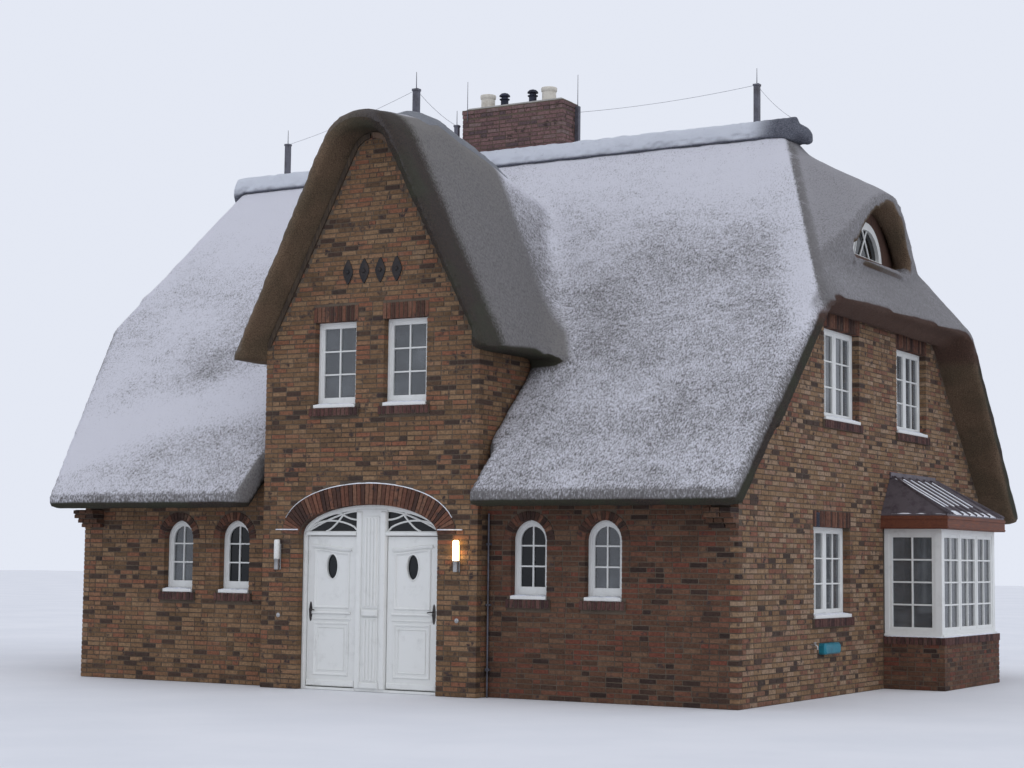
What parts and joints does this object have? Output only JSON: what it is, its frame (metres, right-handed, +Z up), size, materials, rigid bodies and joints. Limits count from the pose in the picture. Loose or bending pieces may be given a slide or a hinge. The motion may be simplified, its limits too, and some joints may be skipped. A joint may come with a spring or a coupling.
{
  "type": "thatched brick house",
  "caption": "Thatched brick house with half-hipped roof, front cross gable over double doors, box bay window, eyebrow dormers and ridge chimney; both door leaves open.",
  "frame": {"origin": "ground level in the middle of the front wall's outer face", "axes": "+X along the front to the right seen from the front, +Y from the front to the rear, +Z up"},
  "size_m": [13.5087, 11.4556, 9.52],
  "materials": {
    "brick": "rough brown brick with light mortar",
    "concrete": "plain concrete",
    "thatch": "reed thatch dusted with snow",
    "ridge_turf": "grey-blue ridge capping",
    "white_joinery": "white painted timber with clear glazing",
    "clay_pot": "pale clay, two dark cowls",
    "stained_wood": "orange-brown stained timber",
    "zinc": "grey standing-seam sheet",
    "grey_metal": "grey metal",
    "lamp_white": "white opal tube on a metal plate"
  },
  "bodies": {
    "house": {"arched_window_1": "white_joinery", "arched_window_2": "white_joinery", "arched_window_3": "white_joinery", "arched_window_4": "white_joinery", "bay_cheek_left": "brick", "bay_cheek_right": "brick", "bay_gable_wall": "brick", "bay_pier_left": "brick", "bay_pier_right": "brick", "bay_ridge_cap": "ridge_turf", "bay_thatch": "thatch", "bay_upper_window_left": "white_joinery", "bay_upper_window_right": "white_joinery", "box_bay_base": "brick", "box_bay_fascia": "stained_wood", "box_bay_roof": "zinc", "box_bay_window": "white_joinery", "chimney": "brick", "chimney_pots": "clay_pot", "door_frame": "white_joinery", "eyebrow_left": "thatch", "eyebrow_right": "thatch", "eyebrow_window_left": "white_joinery", "eyebrow_window_right": "white_joinery", "front_wall_left": "brick", "front_wall_right": "brick", "ground_floor": "concrete", "left_gable_wall": "brick", "left_lower_front": "white_joinery", "left_upper_front": "white_joinery", "left_upper_rear": "white_joinery", "lightning_conductor_left": "grey_metal", "lightning_conductor_right": "grey_metal", "main_thatch": "thatch", "rear_wall": "brick", "rear_window_1": "white_joinery", "rear_window_2": "white_joinery", "rear_window_3": "white_joinery", "ridge_cap_left": "ridge_turf", "ridge_cap_right": "ridge_turf", "right_gable_wall": "brick", "right_lower_front": "white_joinery", "right_upper_front": "white_joinery", "right_upper_rear": "white_joinery", "upper_floor": "concrete", "wall_lamp_left": "lamp_white", "wall_lamp_right": "lamp_white"},
    "left_leaf": {"door_leaf_left": "white_joinery"},
    "right_leaf": {"door_leaf_right": "white_joinery"}
  },
  "joints": [
    {"name": "left_leaf_hinge", "type": "hinge", "parent": "house", "child": "left_leaf", "pos_m": [-0.285, -0.05, 0], "axis": [0, 0, 1], "range_deg": [-90, 0]},
    {"name": "right_leaf_hinge", "type": "hinge", "parent": "house", "child": "right_leaf", "pos_m": [0.225, -0.05, 0], "axis": [0, 0, 1], "range_deg": [0, 90]}
  ]
}
